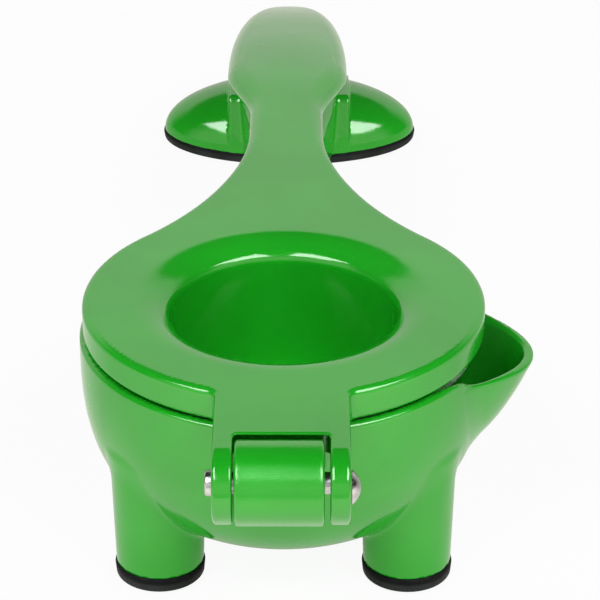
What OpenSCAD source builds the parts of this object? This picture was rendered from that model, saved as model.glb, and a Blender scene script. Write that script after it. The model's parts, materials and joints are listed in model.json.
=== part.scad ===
// Tabletop citrus press: a cast bowl on two front legs and a broad rear foot, with a
// long lever hinged at the front that drives a hollow press cup into a strainer.
// Millimetres. The origin is on the table, at the centre of the rear foot's rubber pad.
// +Z is up, +Y runs back along the lever, and +X points at the pouring spout.
// Every size below is given about the centre of the bowl, and row_frame() moves it back.

/* [Bowl] */
// Outer radius of the bowl at its widest
bowl_r = 49.2; // [48.4:0.2:50]
// Height of the bowl's rim above the table
rim_z = 55.2; // [54.6:0.2:56]
// Height of the bowl's underside above the table
bowl_base_z = 7.5; // [7:0.5:9]
// Thickness of the cast walls
wall = 3.2; // [2.8:0.2:3.6]
// How far the spout reaches out from the centre of the bowl
spout_reach = 60.8; // [58:0.2:63]

/* [Press lever] */
// Radius of the round press plate
plate_r = 48.4; // [47:0.2:48.6]
// Thickness of the press plate and of the handle
plate_t = 8; // [7:0.5:9]
// Radius of the press cup's hollow
cup_r = 27.4; // [26:0.2:28]
// Width of the rounded lip where the plate turns down into the cup
cup_lip_w = 8.8; // [7:0.1:10]
// Height of that lip
cup_lip_h = 3.7; // [3:0.1:4.5]
// Depth of the cup's hollow below the top of the plate
cup_depth = 36; // [32:0.5:37]
// Half the width of the handle's neck
neck_half_w = 9.6; // [8:0.2:11]
// Half the width of the handle's grip
grip_half_w = 16.6; // [15:0.2:18]
// Distance from the bowl's centre to the end of the handle
handle_end_y = 245; // [240:1:250]

/* [Hinge] */
// Distance from the bowl's centre to the hinge axis
hinge_y = 70.5; // [70:0.5:72]
// Outer radius of the hinge barrel
barrel_r = 9.3; // [8.8:0.1:9.4]
// Radius of the rivet's shank
rivet_r = 2.5; // [2.2:0.1:3]
// Width of the middle knuckle
knuckle_w = 20.1; // [18:0.1:21]
// Full width over the two ears
ears_w = 30.9; // [30:0.1:33]

/* [Feet] */
// Radius of each front leg
leg_r = 10.6; // [9.8:0.2:11]
// Sideways distance from the centre line to a front leg
leg_x = 29.9; // [28.5:0.2:31]
// Thickness of the two front pads
pad_t = 4; // [3:0.2:4.2]
// Thickness of the rear pad
rear_pad_t = 3; // [2.6:0.2:3.6]
// Distance from the bowl's centre to the middle of the rear foot
foot_y = 227.5; // [225:0.5:231]
// Half the width of the rear foot
foot_half_w = 38.6; // [37:0.2:42]
// Half the depth of the rear foot
foot_half_d = 21.4; // [19:0.2:23]
// Height of the rear foot's dome above the table
foot_top_z = 18.5; // [17.5:0.5:19.5]

/* [Hidden] */

$fn = 96;
eps = 0.01;                                // overlap that makes a union or a cut clean
plate_gap = 0.4;                           // plate above the rim when the press is shut
plate_z = rim_z + plate_gap + plate_t;     // top of the plate
hinge_z = plate_z - barrel_r;              // height of the hinge axis

widest_z = rim_z - 2;                      // height at which the bowl is widest
belly = 2.9;                               // exponent of the bowl's rounded profile
cup_belly = 4.5;                           // exponent of the deeper, straighter press cup

leg_y = -21.5;                             // how far the front legs stand forward
leg_draft = 0.9;                           // how much a leg widens towards its top
stem_r = 4;                                // hole that takes a pad's stem
stem_fit = 0.05;                           // radial clearance of a stem
stem_l = 9;                                // depth of that hole
rear_stem_x = 24;                          // sideways place of the rear pad's two stems

ledge_r = 46.6;                            // recess in the rim that seats the strainer
ledge_d = 2.3;                             // depth of that recess
strainer_r = 33;                           // inside radius of the strainer's basket
strainer_t = 2;                            // thickness of the strainer
basket_gap = 3;                            // room for the peel under the press cup
drain_hole_r = 1.6;                        // radius of one strainer hole
drain_ring_step = 5.6;                     // spacing of the rings of strainer holes

spout_z = 48.8;                            // height of the spout's rim
spout_base_z = 27;                         // height at which the spout leaves the bowl
spout_root_x = 42;                         // where its outline starts, inside the bowl's wall
spout_curve = 26.5;                        // width factor of its parabolic outline
spout_wall = 2.2;                          // thickness of its wall
rim_slope = 6.9;                           // slope of its rim, in degrees

knuckle_x = -0.45;                         // the knuckle sits a little left of the middle
fork_w = 21.7;                             // opening between the ears
bore_fit = 0.05;                           // radial clearance of the rivet in the knuckle
ear_fit = 0.02;                            // radial clearance of the rivet in the ears
knuckle_r = barrel_r + 0.35;               // radius of the middle knuckle
pocket_r = barrel_r + 1.3;                 // hollow in the plate that clears the knuckle
head_r = 4.15;                             // rivet head
head_h = 2.2;
head_drop = 1.1;                           // the head is formed a little below the axis
tail_r = 2.95;                             // peened end of the rivet
tail_h = 1.5;

bend_y = 118;                              // where the handle starts to curve down
bend_r = 305;                              // radius of that curve
neck_y = 98;                               // narrowest place of the neck
grip_swell = 3;                            // extra thickness of the grip
grip_root_y = 117;                         // where the neck starts to widen into the grip
grip_flare_l = 28;                         // length over which it widens
grip_y = 150;                              // where the grip starts to narrow to its round end

arm_top_z = 19.6;                            // top of the base's arm, near the rear foot
arm_root_z = 42;                           // top of the arm where it leaves the bowl
arm_root_y = 42;                           // start of the arm, inside the bowl's wall
arm_level_y = 170;                         // where the arm's top becomes level
arm_rise = 16.6;                             // how far its underside rises towards the bowl
arm_neck_half_w = 8.5;                     // half the width of the arm's neck
arm_block_half_w = 18.4;                   // half its width at the rear foot

// ---------- helper functions ----------

// From 0 at t = 0 to 1 at t = 1, level at both ends
function ease(t) = let (c = min(max(t, 0), 1)) c * c * (3 - 2 * c);

// Half-profile of a rounded bowl, from its base up to height top where it is r wide
function bowl_curve(r, top, base, power = belly, steps = 26) =
    [for (i = [0:steps]) let (a = 90 * i / steps)
        [r * pow(sin(a), 2 / power), top - (top - base) * pow(cos(a), 2 / power)]];

// Points of an arc in the plane, from angle a0 to angle a1
function arc(cx, cy, r, a0, a1, steps = 12) =
    [for (i = [0:steps]) let (a = a0 + (a1 - a0) * i / steps) [cx + r * cos(a), cy + r * sin(a)]];

// An oval outline with half-axes a and b about [cx, cy]
function oval(cx, cy, a, b, steps = 64) =
    [for (i = [0:steps - 1]) let (t = 360 * i / steps) [cx + a * cos(t), cy + b * sin(t)]];

// A closed outline, symmetric about x = 0, from a list of [half_width, y]
function mirrored(side) = concat(side, [for (i = [len(side) - 1:-1:0]) [-side[i][0], side[i][1]]]);

// Moves a sub-part from the bowl's centre to the row's origin, under the rear foot
module row_frame() {
    translate([0, -foot_y, 0])
        children();
}

// ---------- shapes of the lever ----------

// One arc, tangent to the round plate, shapes the neck and its flare into the grip
flare_r = (pow(neck_half_w, 2) + pow(neck_y, 2) - pow(plate_r, 2)) / (2 * (plate_r - neck_half_w));
flare_x = neck_half_w + flare_r;
tangent_y = plate_r * neck_y / (plate_r + flare_r);

function flare_half_w(y) = flare_x - sqrt(max(pow(flare_r, 2) - pow(y - neck_y, 2), 0));
function grip_half_w_at(y) =
    (neck_half_w + (grip_half_w - neck_half_w) * ease((y - grip_root_y) / grip_flare_l)) *
    sqrt(max(1 - pow(max(y - grip_y, 0) / (handle_end_y - grip_y), 2), 0));
function lever_half_w(y) = y < neck_y ? flare_half_w(y) : grip_half_w_at(y);

// How far the top of the handle has dropped at y
function handle_drop(y) = y < bend_y ? 0 : bend_r - sqrt(pow(bend_r, 2) - pow(y - bend_y, 2));

module handle_outline() {
    // The outline starts inside the plate, so that it crosses the plate's edge at a clear angle
    inside = [[plate_r * 0.5, 0], [lever_half_w(tangent_y) - 1.5, tangent_y]];
    neck = [for (y = [tangent_y + 5:4.5:handle_end_y - 12]) [lever_half_w(y), y]];
    tip = [for (i = [0:8]) let (y = handle_end_y - 10 * pow(1 - i / 8, 2)) [max(lever_half_w(y), 0.4), y]];
    polygon(mirrored(concat(inside, neck, tip)));
}

// Thickness of the handle at y: it swells into the grip and closes to a round end
function handle_t(y) =
    (plate_t + grip_swell * ease((y - neck_y) / 60)) *
    sqrt(max(1 - pow(max(y - (handle_end_y - 9), 0) / 9.2, 2), 0));

// Height of the middle of the handle's thickness at y
function handle_mid_z(y) =
    plate_z - handle_drop(y) - (plate_t + grip_swell * ease((y - neck_y) / 60)) / 2;

module handle_side() {
    steps = concat([for (y = [neck_y:7:handle_end_y - 14]) y],
                   [for (i = [0:7]) handle_end_y - 9 * pow(1 - i / 7, 2)]);
    top = [for (y = steps) [y, handle_mid_z(y) + handle_t(y) / 2]];
    under = [for (i = [len(steps) - 1:-1:0]) [steps[i], handle_mid_z(steps[i]) - handle_t(steps[i]) / 2]];
    polygon(concat([[0, plate_z]], top, under, [[0, plate_z - plate_t]]));
}

module round_plate() {
    edge = 1.5;
    top_edge = arc(plate_r - edge, plate_z - edge, edge, 0, 90);
    rotate_extrude()
        polygon(concat([[0, plate_z - plate_t], [plate_r - 0.5, plate_z - plate_t],
                        [plate_r, plate_z - plate_t + 0.5]], top_edge, [[0, plate_z]]));
}

// Extrudes a profile drawn as [y, z] to both sides of x = 0
module sideways(half_w) {
    rotate([90, 0, 90])
        linear_extrude(2 * half_w, center = true)
            children();
}

// A cylinder about a line parallel to the hinge axis
module crosswise(r, w, x = 0, y = -hinge_y, z = hinge_z) {
    translate([x, y, z])
        rotate([0, 90, 0])
            cylinder(r = r, h = w, center = true);
}

// ---------- sub-parts ----------

// Parabolic outline of the spout, reaching out to x = tip, widened by extra at its root
module spout_outline(tip, inset, extra = 0) {
    root = spout_root_x - (inset > 0 ? 7 : 1);
    half_w = sqrt(spout_curve * (tip - root)) - inset + extra;
    polygon([for (i = [-12:12]) let (t = i / 12) [tip - (tip - root) * t * t, half_w * t]]);
}

module spout_body(inset) {
    // Outlines that widen and reach further out as they rise
    slices = 6;
    height = spout_z - spout_base_z;
    hull()
        for (i = [0:slices]) {
            rise = 1.1 * pow(i / slices, 1.6);
            tip = spout_root_x + 2 + (spout_reach - spout_root_x - 2) * pow(rise, 0.55) - inset;
            translate([0, 0, spout_base_z + inset + (height - inset) * rise - 0.05])
                linear_extrude(0.05)
                    spout_outline(tip, inset);
        }
}

// The spout's rim slopes down a little towards its tip
module spout_walls() {
    intersection() {
        spout_body(0);
        translate([spout_reach, 0, spout_z])
            rotate([0, rim_slope, 0])
                translate([-45, -40, -60])
                    cube([80, 80, 60]);
    }
}

// Above the spout's rim the opening in the bowl's wall widens with sloping sides
module spout_opening() {
    spout_body(spout_wall);
    tip = spout_reach - spout_wall;
    hull() {
        translate([0, 0, spout_z - 0.1])
            linear_extrude(0.1)
                spout_outline(tip, spout_wall);
        translate([0, 0, rim_z + 0.4])
            linear_extrude(0.1)
                spout_outline(tip, spout_wall, rim_z - spout_z);
    }
}

module bowl_hollow() {
    inner_r = bowl_r - wall;
    floor_z = bowl_base_z + wall;
    rotate_extrude()
        polygon(concat([[0, rim_z + 1]], bowl_curve(inner_r, widest_z, floor_z), [[inner_r, rim_z + 1]]));
}

module bowl_body() {
    rotate_extrude()
        polygon(concat([[0, rim_z]], bowl_curve(bowl_r, widest_z, bowl_base_z), [[bowl_r, rim_z]]));
}

module front_legs() {
    for (side = [-1, 1])
        translate([side * leg_x, leg_y, pad_t])
            cylinder(r1 = leg_r, r2 = leg_r + leg_draft, h = 33 - pad_t);
}

module knuckle() {
    crosswise(knuckle_r, knuckle_w, knuckle_x);
    // Web that joins the knuckle to the front of the bowl, under the plate's tongue
    web_top = rim_z - 1.2;
    web_base = hinge_z - barrel_r;
    translate([knuckle_x - knuckle_w / 2, -hinge_y, web_base])
        cube([knuckle_w, hinge_y - bowl_r + 3, web_top - web_base]);
}

function arm_half_w(y) =
    arm_neck_half_w + (arm_block_half_w - arm_neck_half_w) * pow(max(y - 90, 0) / (foot_y - 90), 4);
function arm_top(y) =
    let (left = max(1 - (y - arm_root_y) / (arm_level_y - arm_root_y), 0))
    arm_top_z + (arm_root_z - arm_top_z) * left * left;
function arm_base(y) =
    rear_pad_t + arm_rise * (1 - ease((y - arm_root_y / 2) / (foot_y - foot_half_d - arm_root_y / 2)));

module base_arm() {
    steps = [arm_root_y:8:foot_y - 8];
    intersection() {
        sideways(arm_block_half_w)
            polygon(concat([for (y = steps) [y, arm_top(y)]],
                           [[foot_y - 8, arm_top_z], [foot_y - 8, rear_pad_t]],
                           [for (i = [foot_y - 10:-8:arm_root_y]) [i, arm_base(i)]],
                           [[arm_root_y, arm_base(arm_root_y)]]));
        linear_extrude(arm_root_z + 1)
            polygon(mirrored(concat([for (y = steps) [arm_half_w(y), y]], [[arm_half_w(foot_y), foot_y]])));
    }
}

module rear_foot() {
    // Domed wings on either side
    rings = 7;
    hull()
        for (i = [0:rings]) {
            a = 90 * i / (rings + 0.6);
            translate([0, 0, rear_pad_t + (foot_top_z - rear_pad_t) * sin(a)])
                linear_extrude(0.02)
                    polygon(oval(0, foot_y, foot_half_w * cos(a), foot_half_d * pow(cos(a), 0.9), 56));
        }
    // Upright block in the middle, where the arm ends, rounded down at the back
    back = [for (i = [0:10]) let (a = 90 - 9 * i)
        [foot_y - 8 + (foot_half_d + 8) * cos(a), rear_pad_t + (arm_top_z - rear_pad_t) * sin(a)]];
    intersection() {
        translate([0, 0, rear_pad_t])
            linear_extrude(arm_top_z - rear_pad_t)
                polygon(oval(0, foot_y, foot_half_w, foot_half_d));
        sideways(arm_block_half_w)
            polygon(concat([[foot_y - foot_half_d + 1.5, rear_pad_t],
                            [foot_y - foot_half_d + 12, arm_top_z]], back));
    }
}

module base_casting() {
    color("limegreen") row_frame()
        difference() {
            union() {
                bowl_body();
                front_legs();
                spout_walls();
                knuckle();
                base_arm();
                rear_foot();
            }
            bowl_hollow();
            // Recess in the rim that seats the strainer
            translate([0, 0, rim_z - ledge_d])
                cylinder(r = ledge_r, h = ledge_d + 1);
            spout_opening();
            crosswise(rivet_r + bore_fit, knuckle_w + 2, knuckle_x);
            // Blind holes for the stems of the rubber pads
            for (side = [-1, 1])
                translate([side * leg_x, leg_y, pad_t - 1])
                    cylinder(r = stem_r, h = stem_l + 1);
            for (side = [-1, 1])
                translate([side * rear_stem_x, foot_y, rear_pad_t - 1])
                    cylinder(r = stem_r, h = stem_l - 2);
        }
}

module press_cup() {
    // Outside of the cup, below the plate
    cup_base_z = plate_z - cup_depth;
    outer_r = cup_r + wall;
    top_z = plate_z - plate_t;
    rotate_extrude()
        polygon(concat([[0, top_z + 1]],
                       bowl_curve(outer_r, top_z, cup_base_z - wall, cup_belly),
                       [[outer_r, top_z + 1]]));
}

module cup_hollow() {
    cup_base_z = plate_z - cup_depth;
    lip_z = plate_z - cup_lip_h;
    lip_r = (pow(cup_lip_w, 2) + pow(cup_lip_h, 2)) / (2 * cup_lip_h);
    turn = asin(cup_lip_w / lip_r);
    rotate_extrude()
        polygon(concat([[0, plate_z + 1]], bowl_curve(cup_r, lip_z, cup_base_z, cup_belly),
                       arc(cup_r + cup_lip_w, plate_z - lip_r, lip_r, 90 + turn * 0.97, 90),
                       [[cup_r + cup_lip_w, plate_z + 1]]));
}

module fork() {
    // Tongue in front of the plate, and the two ears that hold the rivet
    translate([-ears_w / 2, -hinge_y, plate_z - plate_t])
        cube([ears_w, hinge_y - plate_r + 8, plate_t]);
    ear_w = (ears_w - fork_w) / 2;
    for (side = [-1, 1])
        crosswise(barrel_r, ear_w, side * (fork_w + ear_w) / 2);
}

module press_lever() {
    color("limegreen") row_frame()
        difference() {
            union() {
                round_plate();
                intersection() {
                    linear_extrude(plate_z + 1)
                        handle_outline();
                    sideways(plate_r)
                        handle_side();
                }
                press_cup();
                fork();
            }
            cup_hollow();
            // Clears the knuckle between the ears
            crosswise(pocket_r, fork_w);
            translate([-fork_w / 2, -hinge_y - pocket_r, plate_z - plate_t - pocket_r])
                cube([fork_w, pocket_r, plate_t + 2 * pocket_r]);
            crosswise(rivet_r + ear_fit, ears_w + 2);
        }
}

module strainer_cup() {
    flange_z = rim_z - ledge_d + 0.1;
    basket_z = plate_z - cup_depth - wall - basket_gap - strainer_t;
    flange_r = ledge_r - 0.3;
    outer_r = strainer_r + strainer_t;
    color("silver") row_frame()
        difference() {
            union() {
                translate([0, 0, flange_z])
                    cylinder(r = flange_r, h = strainer_t);
                rotate_extrude()
                    polygon(concat([[0, flange_z + 1]],
                                   bowl_curve(outer_r, flange_z, basket_z, cup_belly),
                                   [[outer_r, flange_z + 1]]));
            }
            rotate_extrude()
                polygon(concat([[0, rim_z]],
                               bowl_curve(strainer_r, flange_z, basket_z + strainer_t, cup_belly),
                               [[strainer_r, rim_z]]));
            for (ring = [0:3], i = [0:max(6 * ring, 1) - 1]) {
                turn = 360 * i / max(6 * ring, 1) + 15 * ring;
                rotate(turn)
                    translate([ring * drain_ring_step, 0, basket_z - 1])
                        cylinder(r = drain_hole_r, h = 14);
            }
        }
}

module hinge_rivet() {
    half = ears_w / 2 + 0.1;
    dome_r = (head_r * head_r + head_h * head_h) / (2 * head_h);
    rim_angle = asin(head_r / dome_r);
    color("gainsboro") row_frame()
        translate([0, -hinge_y, hinge_z])
            rotate([0, 90, 0])
                union() {
                    translate([0, 0, -half])
                        cylinder(r = rivet_r, h = 2 * half + 0.1);
                    // Domed head on the spout's side
                    translate([head_drop, 0, half])
                        rotate_extrude()
                            polygon(concat([[0, 0]], arc(0, head_h - dome_r, dome_r, 90 - rim_angle, 90)));
                    // Peened tail with a chamfered edge
                    translate([0, 0, -half - tail_h])
                        rotate_extrude()
                            polygon([[0, 0], [tail_r - 0.4, 0], [tail_r, 0.4],
                                     [tail_r, tail_h], [0, tail_h]]);
                }
}

module front_pad(side) {
    overhang = 0.3;
    edge = 0.7;
    r = leg_r + overhang;
    color("dimgray") row_frame()
        translate([side * leg_x, leg_y, 0])
            rotate_extrude()
                polygon([[0, 0], [r - edge, 0], [r, edge], [r, pad_t], [stem_r - stem_fit, pad_t],
                         [stem_r - stem_fit, pad_t + stem_l - 1], [0, pad_t + stem_l - 1]]);
}

module left_foot_pad() front_pad(-1);
module right_foot_pad() front_pad(1);

module rear_foot_pad() {
    overhang = 0.4;
    color("dimgray") row_frame()
        union() {
            linear_extrude(rear_pad_t)
                polygon(oval(0, foot_y, foot_half_w + overhang, foot_half_d + overhang));
            for (side = [-1, 1])
                translate([side * rear_stem_x, foot_y, rear_pad_t - eps])
                    cylinder(r = stem_r - stem_fit, h = stem_l - 4);
        }
}

base_casting();
press_lever();
strainer_cup();
hinge_rivet();
left_foot_pad();
right_foot_pad();
rear_foot_pad();
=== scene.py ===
"""Looks of a tabletop citrus press.

The two castings are worked out as distance fields in millimetres, measured from the table
under the bowl's centre, and meshed in metres. +X is the spout's side, -Y the hinge's end.
"""
import math
import bpy
import numpy as np
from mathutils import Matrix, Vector
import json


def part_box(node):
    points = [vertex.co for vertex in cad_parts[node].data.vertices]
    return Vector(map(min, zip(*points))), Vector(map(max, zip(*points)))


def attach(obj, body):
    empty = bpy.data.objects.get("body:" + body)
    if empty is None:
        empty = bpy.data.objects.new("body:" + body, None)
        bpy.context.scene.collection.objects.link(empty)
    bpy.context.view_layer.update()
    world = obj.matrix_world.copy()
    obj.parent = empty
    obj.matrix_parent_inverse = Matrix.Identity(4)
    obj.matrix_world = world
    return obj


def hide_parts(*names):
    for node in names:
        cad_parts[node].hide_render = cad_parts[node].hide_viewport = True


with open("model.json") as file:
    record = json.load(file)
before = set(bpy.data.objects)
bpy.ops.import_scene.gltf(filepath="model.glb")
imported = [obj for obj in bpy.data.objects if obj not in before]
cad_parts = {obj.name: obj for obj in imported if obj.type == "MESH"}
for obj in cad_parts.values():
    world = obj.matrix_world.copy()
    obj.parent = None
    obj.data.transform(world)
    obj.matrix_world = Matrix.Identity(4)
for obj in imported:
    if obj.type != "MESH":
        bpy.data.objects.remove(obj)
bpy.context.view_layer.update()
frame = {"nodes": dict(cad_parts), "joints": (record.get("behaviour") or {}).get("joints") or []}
MM = 0.001


# ---------- sizes taken from the CAD ----------

strainer_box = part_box("strainer_cup")
bowl_place = np.array([0, (strainer_box[0].y + strainer_box[1].y) / 2 / MM, 0])


def box_mm(node):
    """A CAD node's box in millimetres, measured from the table under the bowl's centre."""
    low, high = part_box(node)
    return np.array(low) / MM - bowl_place, np.array(high) / MM - bowl_place


lever_low, lever_high = box_mm("press_lever")
base_low, base_high = box_mm("base_casting")
rivet_low, rivet_high = box_mm("hinge_rivet")
pad_low, pad_high = box_mm("right_foot_pad")
rear_low, rear_high = box_mm("rear_foot_pad")
hinge_y, hinge_z = np.array(frame["joints"][0]["pos_m"][1:]) / MM - bowl_place[1:]
strainer_r = box_mm("strainer_cup")[1][0]

plate_top = lever_high[2]
plate_r = lever_high[0]
plate_t = 8.0
plate_under = plate_top - plate_t
handle_end = lever_high[1]
barrel_r = hinge_y - lever_low[1]
rim = plate_under - 0.4
bowl_r = -base_low[0]
spout_tip = base_high[0]
pad_stem = 8.0
rear_pad_t = base_low[2]
pad_t = pad_high[2] - pad_stem
pad_lip = 0.3
leg_x = (pad_low[0] + pad_high[0]) / 2
leg_y = (pad_low[1] + pad_high[1]) / 2
leg_r = (pad_high[0] - pad_low[0]) / 2 - pad_lip
rear_pad_lip = 0.4
foot_y = (rear_low[1] + rear_high[1]) / 2
foot_w = rear_high[0] - rear_pad_lip
foot_d = (rear_high[1] - rear_low[1]) / 2 - rear_pad_lip

# ---------- sizes that no box gives ----------

wall = 3.2
bowl_widest = rim - 2.0
bowl_floor = 7.5
bowl_belly = 2.9
block_half = 18.4
ears_w = 15.45
fork_w = 10.85
knuckle_r = barrel_r + 0.35
knuckle_mid, knuckle_half = -0.45, 10.05


# ---------- distance fields ----------

def round_join(a, b, r):
    """Both shapes, with a fillet of radius r where they meet."""
    return np.maximum(r, np.minimum(a, b)) - np.hypot(np.maximum(r - a, 0), np.maximum(r - b, 0))


def round_cut(a, b, r):
    """What two shapes share, with the edge between them rounded to radius r."""
    return np.minimum(-r, np.maximum(a, b)) + np.hypot(np.maximum(r + a, 0), np.maximum(r + b, 0))


def ease(t):
    """Goes smoothly from 0 to 1 while t does."""
    t = np.clip(t, 0, 1)
    return t * t * (3 - 2 * t)


def bowl(x, y, z, r, top, base, n):
    """Bowl of radius r at height top that closes at height base; a larger n makes it squarer."""
    u = np.hypot(x, y) / r
    v = np.maximum(top - z, 0) / (top - base)
    g = np.maximum(u ** n + v ** n, 1e-9) ** (1 / n)
    return (g - 1) / np.hypot((u / g) ** (n - 1) / r, (v / g) ** (n - 1) / (top - base))


def ellipse(x, y, a, b):
    """Distance to an ellipse with half axes a and b."""
    k1 = np.sqrt((x / a) ** 2 + (y / b) ** 2)
    k2 = np.sqrt((x / a ** 2) ** 2 + (y / b ** 2) ** 2) + 1e-9
    return k1 * (k1 - 1) / k2


def dome(x, y, z, a, b, c):
    """Distance to an ellipsoid with half axes a, b and c."""
    k1 = np.sqrt((x / a) ** 2 + (y / b) ** 2 + (z / c) ** 2)
    k2 = np.sqrt((x / a ** 2) ** 2 + (y / b ** 2) ** 2 + (z / c ** 2) ** 2) + 1e-9
    return k1 * (k1 - 1) / k2


# ---------- base casting ----------

spout_root, spout_top, spout_low, spout_curve, spout_wall = 42.0, 48.8, 27.0, 26.5, 2.3
spout_slope = 0.121
leg_top, leg_draft = 36.0, 0.03
arm_start, arm_waist, arm_waist_y = 21.0, 8.5, 90.0
arm_low_top, arm_top_drop, arm_top_y, arm_top_l = 19.6, 22.4, 42.0, 128.0
arm_rise = 16.6
wing_h, block_h, block_lean, block_back = 15.5, 16.6, 0.45, 8.0
web_z, web_half_t = rim - 5.4, 4.2
seat_gap, seat_t = 0.3, 2.3


def spout(x, y, z, inset):
    """A parabola in plan whose tip reaches further out as it rises; the opening widens above its rim."""
    share = np.clip((z - spout_low - inset) / (spout_top - spout_low - inset), 0.004, 1.1)
    tip = spout_root + 2 + (spout_tip - spout_root - 2) * share ** 0.55
    if inset:
        y = y / (1 + 0.045 * np.maximum(z - spout_top, 0))
    side = (x - tip + y * y / spout_curve) / np.sqrt(1.3 + (2 * y / spout_curve) ** 2)
    return np.maximum(side + inset, spout_low + inset - z)


def arm_half(y):
    """Half the arm's width at y."""
    far = np.maximum(y - arm_waist_y, 0) / (foot_y - arm_waist_y)
    return arm_waist + (block_half - arm_waist) * far ** 4


def arm_top(y):
    """Height of the arm's top at y."""
    return arm_low_top + arm_top_drop * np.maximum(1 - (y - arm_top_y) / arm_top_l, 0) ** 2


def arm_under(y):
    """Height of the arm's underside at y."""
    return rear_pad_t + arm_rise * (1 - ease((y - arm_start) / (foot_y - foot_d - arm_start)))


def legs_and_bowl(x, y, z):
    shell = bowl(x, y, z, bowl_r, bowl_widest, bowl_floor, bowl_belly)
    for side in (-1, 1):
        leg = np.hypot(x - side * leg_x, y - leg_y) - leg_r - leg_draft * (z - pad_t)
        leg = np.maximum(round_cut(leg, z - leg_top, 2), pad_t - z)
        shell = round_join(shell, leg, 1.5)
    return shell


def arm(x, y, z):
    """The arm that runs back under the lever."""
    mid, half_t = (arm_top(y) + arm_under(y)) / 2, (arm_top(y) - arm_under(y)) / 2
    bar = round_cut((np.abs(x) - arm_half(y)) * 0.98, (np.abs(z - mid) - half_t) * 0.96, 2.2)
    return np.maximum(np.maximum(bar, arm_start - 1 - y), y - foot_y + 6)


def rear_foot(x, y, z):
    """Two wings, with a straight-sided block between them that leans back at the front."""
    up = z - rear_pad_t
    wings = dome(x, y - foot_y, up, foot_w, foot_d, wing_h)
    oval = ellipse(x, y - foot_y, foot_w, foot_d)
    back = ellipse(np.maximum(y - foot_y + block_back, 0), up, foot_d + block_back, block_h)
    lean = (foot_y - foot_d - 0.1 + block_lean * up - y) / math.hypot(1, block_lean)
    block = round_cut(np.abs(x) - block_half, round_cut(np.maximum(oval, lean), back, 1.6), 0.4)
    return round_join(wings, block, 0.4)


def base_field(x, y, z):
    """Distance to the base casting's surface."""
    shell = round_join(legs_and_bowl(x, y, z), arm(x, y, z), 5)
    shell = np.maximum(round_join(shell, rear_foot(x, y, z), 1.0), rear_pad_t - z)
    # knuckle, and the web that carries it
    across = np.abs(x - knuckle_mid) - knuckle_half
    disc = np.hypot(y - hinge_y, z - hinge_z) - knuckle_r
    web = np.maximum(np.abs(z - web_z) - web_half_t, np.maximum(hinge_y - y, y + bowl_r - 5))
    shell = round_join(shell, round_cut(across, web, 0.7), 2.5)
    barrel = round_cut(across, disc, 0.8)
    # spout, open into the bowl, with a rim that slopes down to its tip
    slant = (z - spout_top - spout_slope * (spout_tip - x)) / math.hypot(1, spout_slope)
    lip = round_cut(np.maximum(spout(x, y, z, 0), spout_root - 3 - x), slant, 0.9)
    outside = round_join(round_cut(shell, z - rim, 1.0), lip, 2.0)
    inner = bowl(x, y, z, bowl_r - wall, bowl_widest, bowl_floor + wall, bowl_belly)
    seat = np.maximum(np.hypot(x, y) - strainer_r - seat_gap, rim - seat_t - z)
    channel = np.maximum(spout(x, y, z, spout_wall), spout_root - 9 - x)
    hollow = np.minimum(round_join(inner, channel, 1.5), seat)
    body = np.minimum(round_cut(outside, -hollow, 0.7), barrel)
    return np.maximum(body, np.where(y < 100, pad_t, rear_pad_t) - z)


# ---------- lever ----------

neck_y, neck_half, grip_half, grip_y = 98.0, 9.9, 16.9, 152.0
grip_root, grip_flare_l, grip_swell, grip_crown = 112.0, 36.0, 3.0, 2.8
bend_y, bend_r = 118.0, 305.0
flare_r = (neck_half ** 2 + neck_y ** 2 - plate_r ** 2) / (2 * (plate_r - neck_half))
tangent_y = plate_r * neck_y / (plate_r + flare_r)
cup_r, cup_deep, lip_w, lip_h = 27.4, 36.0, 8.8, 3.7
cup_inside_n, cup_outside_n = 10, 6
lip_bend = (lip_w ** 2 + lip_h ** 2) / (2 * lip_h)
pocket_gap = 1.3


def lever_half(y):
    """Half the handle's width at y."""
    flare = neck_half + flare_r - np.sqrt(np.maximum(flare_r ** 2 - (y - neck_y) ** 2, 0))
    taper = np.clip((y - grip_y) / (handle_end - grip_y), 0, 0.9995)
    grip = neck_half + (grip_half - neck_half) * ease((y - grip_root) / grip_flare_l)
    return np.where(y < neck_y, flare, grip * np.sqrt(1 - taper ** 2))


def lever_outline(x, y):
    """The lever seen from above: plate, tongue and handle."""
    slope = (lever_half(y + 0.1) - lever_half(y - 0.1)) / 0.2
    side = (np.abs(x) - lever_half(y)) / np.sqrt(1 + slope ** 2)
    side = np.where(y < tangent_y, np.maximum(np.abs(x) - 30, -5.0), side)
    side = np.maximum(side, -y)
    tongue = np.maximum(np.abs(x) - ears_w, np.maximum(y, hinge_y + 3 - y))
    plate = np.hypot(x, y) - plate_r
    return np.minimum(round_join(plate, tongue, 1.8), side)


def handle_drop(y):
    """How far the handle has bent down at y."""
    return bend_r - np.sqrt(np.maximum(bend_r ** 2 - np.maximum(y - bend_y, 0) ** 2, 1))


def handle_and_plate(x, y, z):
    """A slab under the outline; the grip is thicker than the plate, crowned and softer at its edges."""
    crown = ease((y - 105) / 50) * grip_crown * np.clip(np.abs(x) / grip_half, 0, 1.1) ** 2.4
    half_t = (plate_t + grip_swell * ease((y - neck_y) / 60) - crown) / 2
    mid = plate_top - handle_drop(y) - crown - half_t
    slope = np.maximum(y - bend_y, 0) / bend_r
    slab = (np.abs(z - mid) - half_t) * np.sqrt(1 - slope ** 2)
    plan = round_cut(lever_outline(x, y), y - handle_end, 1.0)
    edge = 0.9 + 0.7 * ease((y + 50) / 6) + 3.7 * ease((y - 60) / 75)
    return round_cut(plan, slab, edge)


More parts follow.
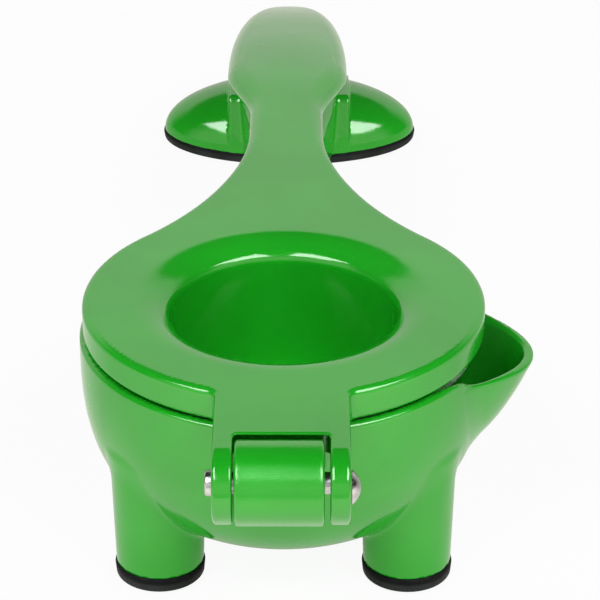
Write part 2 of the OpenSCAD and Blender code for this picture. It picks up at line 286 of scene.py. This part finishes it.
def lever_field(x, y, z):
    """Distance to the lever's surface."""
    body = handle_and_plate(x, y, z)
    # ears and the tongue's front
    front = np.maximum(hinge_y - y, y + 44)
    tongue = np.maximum(np.abs(z - plate_top + plate_t / 2) - plate_t / 2, front)
    disc = np.hypot(y - hinge_y, z - hinge_z) - barrel_r
    body = np.minimum(body, round_cut(np.abs(x) - ears_w, np.minimum(tongue, disc), 0.9))
    # press cup
    cup_base = plate_top - cup_deep
    cup = bowl(x, y, z, cup_r + wall, plate_under, cup_base - wall, cup_outside_n)
    body = round_join(body, np.maximum(cup, z - plate_top + 1), 1.5)
    hollow = bowl(x, y, z, cup_r, plate_top - lip_h, cup_base, cup_inside_n)
    # the plate rolls over into the cup on a broad arc
    in_lip = np.clip(cup_r + lip_w - np.hypot(x, y), 0, lip_w + 1.5)
    lip = np.hypot(in_lip, np.maximum(z - plate_top + lip_bend, 0)) - lip_bend
    body = np.maximum(body, round_cut(lip, -hollow, 1.0))
    body = np.maximum(body, -hollow)
    # pocket that clears the knuckle
    pocket = np.hypot(y - hinge_y, z - hinge_z) - barrel_r - pocket_gap
    ahead = np.maximum(y - hinge_y, np.abs(z - hinge_z) - 30)
    pocket = round_cut(np.minimum(pocket, ahead), np.abs(x) - fork_w, 0.9)
    return round_cut(body, -pocket, 0.7)


# ---------- meshing ----------

def grid_lines(low, high, step, fine=()):
    """Lines from low to high, step apart, or closer inside the (from, to, step) ranges in fine."""
    lines = [low]
    while lines[-1] < high:
        here = lines[-1]
        near = [f[2] for f in fine if f[0] <= here <= f[1]]
        lines.append(here + (min(near) if near else step))
    return np.array(lines)


def smooth_piece(name, points, faces):
    """A smooth-shaded object from points in bowl-centred millimetres."""
    mesh = bpy.data.meshes.new(name)
    mesh.from_pydata(((points + bowl_place) * MM).tolist(), [], faces)
    mesh.validate()
    mesh.polygons.foreach_set("use_smooth", np.ones(len(mesh.polygons), bool))
    piece = bpy.data.objects.new(name, mesh)
    bpy.context.scene.collection.objects.link(piece)
    return piece


def field_mesh(name, field, xs, ys, zs):
    """Meshes the surface where field is zero, then slides every point onto it."""
    f = np.broadcast_to(field(xs[:, None, None], ys[None, :, None], zs[None, None, :]),
                        (len(xs), len(ys), len(zs)))
    inside = f < 0
    corners = [(i, j, k) for i in (0, 1) for j in (0, 1) for k in (0, 1)]
    nx, ny, nz = (n - 1 for n in f.shape)
    total = sum(inside[i:i + nx, j:j + ny, k:k + nz].astype(np.int8) for i, j, k in corners)
    cells = np.argwhere((total > 0) & (total < 8))
    index = np.full((nx, ny, nz), -1, np.int64)
    index[tuple(cells.T)] = np.arange(len(cells))
    points, hits = np.zeros((len(cells), 3)), np.zeros(len(cells))
    lines = (xs, ys, zs)
    planes, pulls = np.zeros((len(cells), 3, 3)), np.zeros((len(cells), 3))

    def slope(p, h):
        x, y, z = p.T
        return np.stack([field(x + h, y, z) - field(x - h, y, z), field(x, y + h, z) - field(x, y - h, z),
                         field(x, y, z + h) - field(x, y, z - h)], 1) / (2 * h)

    for a in corners:
        for axis in range(3):
            if a[axis]:
                continue
            b = tuple(1 if n == axis else a[n] for n in range(3))
            ia, ib = cells + a, cells + b
            fa, fb = f[tuple(ia.T)], f[tuple(ib.T)]
            at = np.nonzero((fa < 0) != (fb < 0))[0]
            ia, ib, fa, fb = ia[at], ib[at], fa[at], fb[at]
            pa = np.stack([lines[n][ia[:, n]] for n in range(3)], 1)
            pb = np.stack([lines[n][ib[:, n]] for n in range(3)], 1)
            p = pa + (fa / (fa - fb))[:, None] * (pb - pa)
            g = slope(p, 0.02)
            g /= np.maximum(np.linalg.norm(g, axis=1), 1e-9)[:, None]
            points[at] += p
            hits[at] += 1
            planes[at] += g[:, :, None] * g[:, None, :]
            pulls[at] += g * (g * p).sum(1)[:, None]
    # each point goes where its cell's surface planes meet, so that edges stay crisp
    points /= hits[:, None]
    pulls -= np.einsum("nij,nj->ni", planes, points)
    move = np.linalg.solve(planes + 0.06 * np.eye(3), pulls[:, :, None])[:, :, 0]
    widths = np.stack([np.diff(lines[n])[cells[:, n]] for n in range(3)], 1)
    points += np.clip(move, -0.7 * widths, 0.7 * widths)
    # a quad round every grid edge that crosses the surface
    quads = []
    for axis in range(3):
        u, v = (axis + 1) % 3, (axis + 2) % 3
        low = [slice(1, -1)] * 3
        high = [slice(1, -1)] * 3
        low[axis], high[axis] = slice(None, -1), slice(1, None)
        s0, s1 = inside[tuple(low)], inside[tuple(high)]
        e = np.argwhere(s0 != s1)
        grow = s0[tuple(e.T)]
        shift = np.ones(3, int)
        shift[axis] = 0
        e = e + shift
        ring = []
        for du, dv in ((-1, -1), (0, -1), (0, 0), (-1, 0)):
            c = e.copy()
            c[:, u] += du
            c[:, v] += dv
            ring.append(index[tuple(c.T)])
        ring = np.stack(ring, 1)
        quads.append(np.where(grow[:, None], ring, ring[:, ::-1]))
    quads = np.concatenate(quads)

    # slide the points onto the surface
    for _ in range(3):
        g = slope(points, 0.05)
        size = np.maximum((g * g).sum(1), 0.05)
        step = np.clip(field(*points.T) / size, -0.4, 0.4)
        points = points - step[:, None] * g
    normals = slope(points, 0.12)
    normals /= np.maximum(np.linalg.norm(normals, axis=1), 1e-9)[:, None]
    piece = smooth_piece(name, points, quads.tolist())
    piece.data.normals_split_custom_set_from_vertices(normals.tolist())
    piece.data.update()
    return piece


def lathe_mesh(name, outline, turn, place, squash=(1, 1), steps=128):
    """Spins [radius, height] points about an axis; squash widens each ring into an oval."""
    rings = np.array(outline, float)
    a = np.arange(steps) * 2 * math.pi / steps
    grid = np.stack([rings[:, :1] * np.cos(a) * squash[0], rings[:, :1] * np.sin(a) * squash[1],
                     np.repeat(rings[:, 1:], steps, 1)], 2).reshape(-1, 3)
    grid = grid @ np.array(turn, float).T + np.array(place, float)
    faces = []
    for i in range(len(rings) - 1):
        for j in range(steps):
            k = (j + 1) % steps
            faces.append((i * steps + j, i * steps + k, (i + 1) * steps + k, (i + 1) * steps + j))
    faces.append(tuple(range(steps - 1, -1, -1)))
    faces.append(tuple((len(rings) - 1) * steps + j for j in range(steps)))
    piece = smooth_piece(name, grid, faces)
    piece.data.set_sharp_from_angle(angle=math.radians(40))
    piece.data.update()
    return piece


def bend(cx, cz, r, start, stop, steps=7):
    """Points of an arc in a lathe outline, between two angles in degrees."""
    return [(cx + r * math.cos(math.radians(start + (stop - start) * i / steps)),
             cz + r * math.sin(math.radians(start + (stop - start) * i / steps))) for i in range(steps + 1)]


# ---------- materials ----------

class Nodes:
    """Small helper that builds one node tree."""

    def __init__(self, tree):
        self.tree = tree

    def add(self, kind, **values):
        node = self.tree.nodes.new(kind)
        for key, value in values.items():
            if hasattr(node, key):
                setattr(node, key, value)
            else:
                node.inputs[key.replace("_", " ")].default_value = value
        return node

    def link(self, source, target):
        self.tree.links.new(source, target)

    def math(self, kind, a, b=0):
        node = self.add("ShaderNodeMath", operation=kind)
        for i, v in enumerate((a, b)):
            if isinstance(v, (int, float)):
                node.inputs[i].default_value = v
            else:
                self.link(v, node.inputs[i])
        return node.outputs[0]

    def times(self, a, *others):
        for b in others:
            a = self.math("MULTIPLY", a, b)
        return a

    def plus(self, a, *others):
        for b in others:
            a = self.math("ADD", a, b)
        return a

    def span(self, source, low, high, to_low, to_high):
        """Maps low..high to to_low..to_high, clamped."""
        node = self.add("ShaderNodeMapRange", From_Min=low, From_Max=high, To_Min=to_low, To_Max=to_high)
        self.link(source, node.inputs["Value"])
        return node.outputs["Result"]

    def axes(self, source):
        node = self.add("ShaderNodeSeparateXYZ")
        self.link(source, node.inputs["Vector"])
        return node.outputs

    def mix(self, share, a, b):
        """One shader where share is 0, the other where it is 1."""
        node = self.add("ShaderNodeMixShader")
        if isinstance(share, (int, float)):
            node.inputs[0].default_value = share
        else:
            self.link(share, node.inputs[0])
        self.link(a, node.inputs[1])
        self.link(b, node.inputs[2])
        return node.outputs[0]


class Look(Nodes):
    """A material's node tree round its main shader."""

    def __init__(self, name):
        self.material = bpy.data.materials.new(name)
        self.material.use_nodes = True
        super().__init__(self.material.node_tree)
        self.shader = self.tree.nodes["Principled BSDF"]
        self.spot = self.add("ShaderNodeTexCoord").outputs["Object"]

    def noise(self, scale, detail=2.0):
        node = self.add("ShaderNodeTexNoise", Scale=scale, Detail=detail, Roughness=0.5)
        self.link(self.spot, node.inputs["Vector"])
        return node.outputs["Fac"]

    def ramp(self, source, *stops):
        node = self.add("ShaderNodeValToRGB")
        for i, (at, colour) in enumerate(stops):
            e = node.color_ramp.elements[i] if i < 2 else node.color_ramp.elements.new(at)
            e.position, e.color = at, (*colour, 1)
        self.link(source, node.inputs["Fac"])
        return node.outputs["Color"]

    def spread(self, source, low, high):
        """Spreads a noise, which mostly stays between 0.3 and 0.7, over low..high."""
        return self.span(source, 0.3, 0.7, low, high)

    def bump(self, source, depth, strength, after=None):
        node = self.add("ShaderNodeBump", Strength=strength, Distance=depth)
        self.link(source, node.inputs["Height"])
        if after:
            self.link(after, node.inputs["Normal"])
        return node.outputs["Normal"]

    def finish(self, tone, rough, normal, **values):
        """Links the three textures to the main shader and sets its other inputs."""
        self.link(tone, self.shader.inputs["Base Color"])
        self.link(rough, self.shader.inputs["Roughness"])
        self.link(normal, self.shader.inputs["Normal"])
        for key, value in values.items():
            self.shader.inputs[key.replace("_", " ")].default_value = value
        return self.material


def enamel():
    m = Look("green_enamel")
    tone = m.ramp(m.noise(35, 3), (0.35, (0.008, 0.315, 0.010)), (0.65, (0.011, 0.357, 0.013)))
    # the knuckle's barrel is grainier than the rest
    x, y, z = m.axes(m.spot)
    y = m.math("SUBTRACT", y, (hinge_y + bowl_place[1]) * MM)
    z = m.math("SUBTRACT", z, hinge_z * MM)
    away = m.math("SQRT", m.plus(m.times(y, y), m.times(z, z)))
    aside = m.math("ABSOLUTE", m.math("SUBTRACT", x, knuckle_mid * MM))
    grainy = m.times(m.span(away, 0.0100, 0.0102, 1.0, 0.0), m.span(aside, 0.0100, 0.0102, 1.0, 0.0))
    rough = m.plus(m.spread(m.noise(240, 4), 0.10, 0.16), m.times(grainy, 0.10))
    peel = m.bump(m.noise(330, 1.5), 0.00006, 0.35)
    grain = m.times(m.noise(1900, 3), m.plus(m.times(grainy, 10.0), 1.0))
    peel = m.bump(grain, 0.00001, 0.35, peel)
    return m.finish(tone, rough, peel, IOR=1.5, Specular_Tint=(1.0, 0.96, 0.87, 1))


def rubber():
    m = Look("black_rubber")
    tone = m.ramp(m.noise(160, 4), (0.3, (0.004, 0.0045, 0.004)), (0.75, (0.009, 0.010, 0.0095)))
    # painted reflection: the band next to the table is lighter, standing in for the floor mirrored in the
    # pad's bevelled foot
    band = m.add("ShaderNodeVectorMath", operation="SCALE")
    m.link(tone, band.inputs[0])
    m.link(m.span(m.axes(m.spot)["Z"], 0.0018, 0.0026, 3.6, 0.8), band.inputs["Scale"])
    rough = m.spread(m.noise(700, 4), 0.5, 0.7)
    return m.finish(band.outputs[0], rough, m.bump(m.noise(1800, 3), 0.00008, 0.4), IOR=1.15)


def steel():
    m = Look("rivet_steel")
    tone = m.ramp(m.noise(500, 4), (0.3, (0.28, 0.276, 0.272)), (0.7, (0.42, 0.415, 0.41)))
    rough = m.spread(m.noise(900, 4), 0.16, 0.34)
    return m.finish(tone, rough, m.bump(m.noise(1400, 4), 0.00003, 0.4), Metallic=1.0)


def satin_aluminium():
    m = Look("satin_aluminium")
    rings = m.add("ShaderNodeTexWave", Scale=160, Distortion=0.6, Detail=2)
    rings.wave_type, rings.rings_direction = "RINGS", "Z"
    m.link(m.spot, rings.inputs["Vector"])
    tone = m.ramp(m.noise(220, 4), (0.3, (0.60, 0.61, 0.62)), (0.7, (0.74, 0.745, 0.75)))
    rough = m.spread(m.noise(420, 4), 0.26, 0.40)
    return m.finish(tone, rough, m.bump(rings.outputs["Fac"], 0.00003, 0.25), Metallic=1.0)


def dress(piece, body, slot, material, *nodes):
    """Gives a piece its material and body, and lets it stand for CAD nodes."""
    piece.data.materials.clear()
    piece.data.materials.append(material)
    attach(piece, body)
    if nodes:
        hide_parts(*nodes)


# ---------- castings ----------

green, black, metal, satin = enamel(), rubber(), steel(), satin_aluminium()

ear_lines = [(-17.5, -8.5, 0.42), (8.5, 17.5, 0.42)]
block_lines, spout_lines = [(17.5, 19.5, 0.42)], [(40, 62, 0.62)]
front_lines = [(hinge_y - 10, hinge_y + 13, 0.5), (hinge_y + 13, -30, 0.8)]
pad_lines = [(rear_pad_t - 1, pad_t + 1.2, 0.6)]
rim_lines = [(spout_top - 0.6, rim + 0.8, 0.5)]
plate_lines = [(plate_under - 1, plate_top + 1, 0.55)]

casting = field_mesh("base_casting_body", base_field,
                     grid_lines(-bowl_r - 2.1, spout_tip + 2, 0.95, ear_lines + block_lines + spout_lines),
                     grid_lines(hinge_y - barrel_r - 2.3, foot_y + foot_d + 2.5, 1.1, front_lines),
                     grid_lines(rear_pad_t - 2.4, hinge_z + barrel_r + 2, 0.95, pad_lines + rim_lines))
dress(casting, "base", "enamel", green, "base_casting")
lever = field_mesh("press_lever_body", lever_field,
                   grid_lines(-plate_r - 2.1, plate_r + 2, 0.95, ear_lines),
                   grid_lines(hinge_y - barrel_r - 2.3, handle_end + 2.5, 1.0, front_lines),
                   grid_lines(lever_low[2] - 3, plate_top + 2, 0.8, plate_lines))
dress(lever, "lever", "enamel", green, "press_lever")

# ---------- rivet: peened tail on the left ear, domed head a little low on the right one ----------

shank, tail_r, tail_round, head_r = 2.5, 2.95, 0.5, (rivet_high[1] - rivet_low[1]) / 2
head_z = (rivet_low[2] + rivet_high[2]) / 2
ear_face = ears_w + 0.05
head_h = rivet_high[0] - ear_face
dome_r = (head_r ** 2 + head_h ** 2) / (2 * head_h)
half_angle = math.degrees(math.asin(head_r / dome_r))
along_x = ((0, 0, 1), (0, 1, 0), (-1, 0, 0))
axis_r = 0.02

outline = [(axis_r, rivet_low[0])]
outline += bend(tail_r - tail_round, rivet_low[0] + tail_round, tail_round, 270, 360)
outline += [(tail_r, -ear_face), (shank, -ear_face + 0.01), (shank, ear_face + 0.3), (axis_r, ear_face + 0.3)]
shaft = lathe_mesh("hinge_rivet_body", outline, along_x, (0, hinge_y, hinge_z))
dress(shaft, "lever", "rivet_steel", metal, "hinge_rivet")
outline = [(axis_r, ear_face), (head_r - 0.25, ear_face)]
outline += bend(0, rivet_high[0] - dome_r, dome_r, 90 - half_angle + 3, 90, 14)[:-1]
outline += [(axis_r, rivet_high[0])]
head = lathe_mesh("hinge_rivet_head", outline, along_x, (0, hinge_y, head_z))
dress(head, "lever", "rivet_steel", metal)


# ---------- rubber pads ----------

def pad_outline(r, thick, inner):
    """A pad's section: a bevelled foot, a band leaning in a little, and a rounded top edge."""
    points = [(axis_r, 0.4), (r - 3.4, 0.4), (r - 3.0, 0)] + bend(r - 1.1, 0.9, 0.9, 270, 350)
    points += bend(r - 1.0, thick - 1.0, 1.0, 0, 90)
    return points + [(inner, thick + 0.02), (axis_r, thick + 0.02)]


upright = ((1, 0, 0), (0, 1, 0), (0, 0, 1))
for side, node in ((-1, "left_foot_pad"), (1, "right_foot_pad")):
    pad = lathe_mesh(node + "_body", pad_outline(leg_r + pad_lip, pad_t, leg_r - 2), upright,
                     (side * leg_x, leg_y, 0))
    dress(pad, "base", "pad_rubber", black, node)
rear_r = rear_high[0]
rear_pad = lathe_mesh("rear_foot_pad_body", pad_outline(rear_r, rear_pad_t, rear_r - 6), upright,
                      (0, foot_y, 0), (1, (foot_d + rear_pad_lip) / rear_r), 192)
dress(rear_pad, "base", "pad_rubber", black, "rear_foot_pad")

strainer = frame["nodes"]["strainer_cup"]
strainer.data.materials.clear()
strainer.data.materials.append(satin)

# ---------- floor: white to the camera, and a lit table to the enamel ----------

scene = bpy.context.scene
scene.view_settings.view_transform = "Standard"
scene.view_settings.look = "None"
bowl_at = bowl_place[1] * MM

reach = 40.0
floor_mesh = bpy.data.meshes.new("floor")
floor_mesh.from_pydata([(-reach, -reach, 0), (reach, -reach, 0), (reach, reach, 0), (-reach, reach, 0)], [],
                       [(0, 1, 2, 3)])
floor = bpy.data.objects.new("floor", floor_mesh)
floor.location.z = -0.0002
scene.collection.objects.link(floor)

m = Look("pale_floor")
m.shader.inputs["Base Color"].default_value = (0.85, 0.85, 0.85, 1)
m.shader.inputs["Roughness"].default_value = 0.9
glow = m.add("ShaderNodeEmission", Color=(1, 1, 1, 1), Strength=1.0)
along = m.axes(m.spot)["Y"]
from_bowl = m.add("ShaderNodeVectorMath", operation="DISTANCE")
from_bowl.inputs[1].default_value = (0, bowl_at, 0)
m.link(m.spot, from_bowl.inputs[0])
# painted light and shade in the table that the enamel mirrors: brighter in front of the press and fading
# towards the bowl, with a painted shadow that dims it to about a third within 20 mm of the bowl's centre and
# back to full at 70 mm
front_edge = m.span(along, bowl_at - 0.36, bowl_at - 0.32, 0.4, 1.0)
front_to_back = m.span(along, bowl_at - 0.14, bowl_at + 0.02, 2.6, 0.95)
further_back = m.span(along, bowl_at + 0.06, bowl_at + 0.16, 1.0, 0.84)
under = m.span(from_bowl.outputs["Value"], 0.02, 0.07, 0.35, 1.0)
table = m.add("ShaderNodeEmission", Color=(1.0, 0.97, 0.90, 1))
m.link(m.times(front_edge, front_to_back, under, further_back), table.inputs["Strength"])
rays = m.add("ShaderNodeLightPath").outputs
plain = m.mix(0.07, glow.outputs[0], m.shader.outputs[0])
m.link(m.mix(rays["Is Glossy Ray"], plain, table.outputs[0]),
       m.tree.nodes["Material Output"].inputs["Surface"])
floor_mesh.materials.append(m.material)

# ---------- world: white to the camera, a soft fill, and the studio that the enamel mirrors ----------

world = bpy.data.worlds.new("studio")
scene.world = world
world.use_nodes = True
world.node_tree.nodes.clear()
w = Nodes(world.node_tree)
x, y, z = w.axes(w.add("ShaderNodeTexCoord").outputs["Generated"])

# a white backdrop low down behind, a paler front wall, and dark above
backdrop = w.times(w.span(z, 0.56, 0.62, 1.0, 0.0), w.span(y, 0.35, 0.65, 0.0, 1.0),
                   w.span(z, 0.10, 0.50, 0.88, 1.22))
front_wall = w.times(w.span(y, -0.15, -0.45, 0.0, 0.95), w.span(z, 0.45, 0.62, 1.0, 0.0))
wall_high = w.times(w.span(y, -0.15, -0.45, 0.0, 0.45), w.span(z, 0.72, 0.90, 1.0, 0.0))
mirrored = w.plus(backdrop, front_wall, wall_high, 0.08)

# two softboxes overhead, laid out by how far aside and ahead they are for their height
height = w.math("MAXIMUM", z, 0.02)
aside = w.math("DIVIDE", x, height)
ahead = w.math("DIVIDE", w.times(y, -1.0), height)
blur = 0.03


def panel(across, low, high):
    """A softbox between two distances aside."""
    return w.times(w.span(across, low, low + blur, 0.0, 1.0), w.span(across, high, high + blur, 1.0, 0.0),
                   w.span(ahead, 0.24, 0.24 + blur, 0.0, 1.0), w.span(ahead, 1.17, 1.17 + blur, 1.0, 0.0))


panels = w.plus(panel(aside, 0.24, 1.35), panel(w.times(aside, -1.0), 0.12, 1.05))
fill_level = w.plus(w.span(z, 0.0, 0.9, 0.55, 0.10), w.span(y, 0.0, -1.0, 0.0, 0.65))

walls = w.add("ShaderNodeBackground", Color=(1, 0.97, 0.92, 1))
lamps = w.add("ShaderNodeBackground", Color=(0.96, 0.98, 1.12, 1))
fill = w.add("ShaderNodeBackground", Color=(1, 1, 1, 1))
white = w.add("ShaderNodeBackground", Color=(1, 1, 1, 1), Strength=1.0)
w.link(mirrored, walls.inputs["Strength"])
w.link(w.times(panels, 14.5), lamps.inputs["Strength"])
w.link(fill_level, fill.inputs["Strength"])
shine = w.add("ShaderNodeAddShader")
w.link(walls.outputs[0], shine.inputs[0])
w.link(lamps.outputs[0], shine.inputs[1])
rays = w.add("ShaderNodeLightPath").outputs
unseen = w.mix(rays["Is Glossy Ray"], fill.outputs[0], shine.outputs[0])
out = w.add("ShaderNodeOutputWorld")
w.link(w.mix(rays["Is Camera Ray"], unseen, white.outputs[0]), out.inputs["Surface"])


# ---------- lamps ----------

def softbox(name, place, aim, power):
    """A soft lamp that lights the press but isn't mirrored in it; the world's panels are."""
    light = bpy.data.lights.new(name, "AREA")
    light.shape, light.size, light.size_y, light.energy = "RECTANGLE", 0.62, 0.40, power
    lamp = bpy.data.objects.new(name, light)
    lamp.visible_glossy = False
    lamp.location = place
    lamp.rotation_mode = "QUATERNION"
    lamp.rotation_quaternion = (Vector(aim) - Vector(place)).to_track_quat("-Z", "Y")
    scene.collection.objects.link(lamp)


middle = np.array([0.0, bowl_at + 0.02, 0.05])
softbox("left_softbox", middle + (-0.62, -0.80, 1.15), middle, 9.0)
softbox("right_softbox", middle + (0.66, -0.80, 1.15), middle, 9.0)

# ---------- camera ----------

camera = bpy.data.objects.new("camera", bpy.data.cameras.new("camera"))
scene.collection.objects.link(camera)
camera.data.lens, camera.data.sensor_width = 192, 36
tilt, turn, distance = math.radians(28.02), math.radians(0.15), 0.7686
aim = Vector((3.95 * MM, bowl_at, 62.8 * MM))
back_along = Vector((math.sin(turn) * math.cos(tilt), -math.cos(turn) * math.cos(tilt), math.sin(tilt)))
camera.location = aim + back_along * distance
camera.rotation_euler = (math.pi / 2 - tilt, 0, turn)
camera.data.clip_start, camera.data.clip_end = 0.01, 100
scene.camera = camera
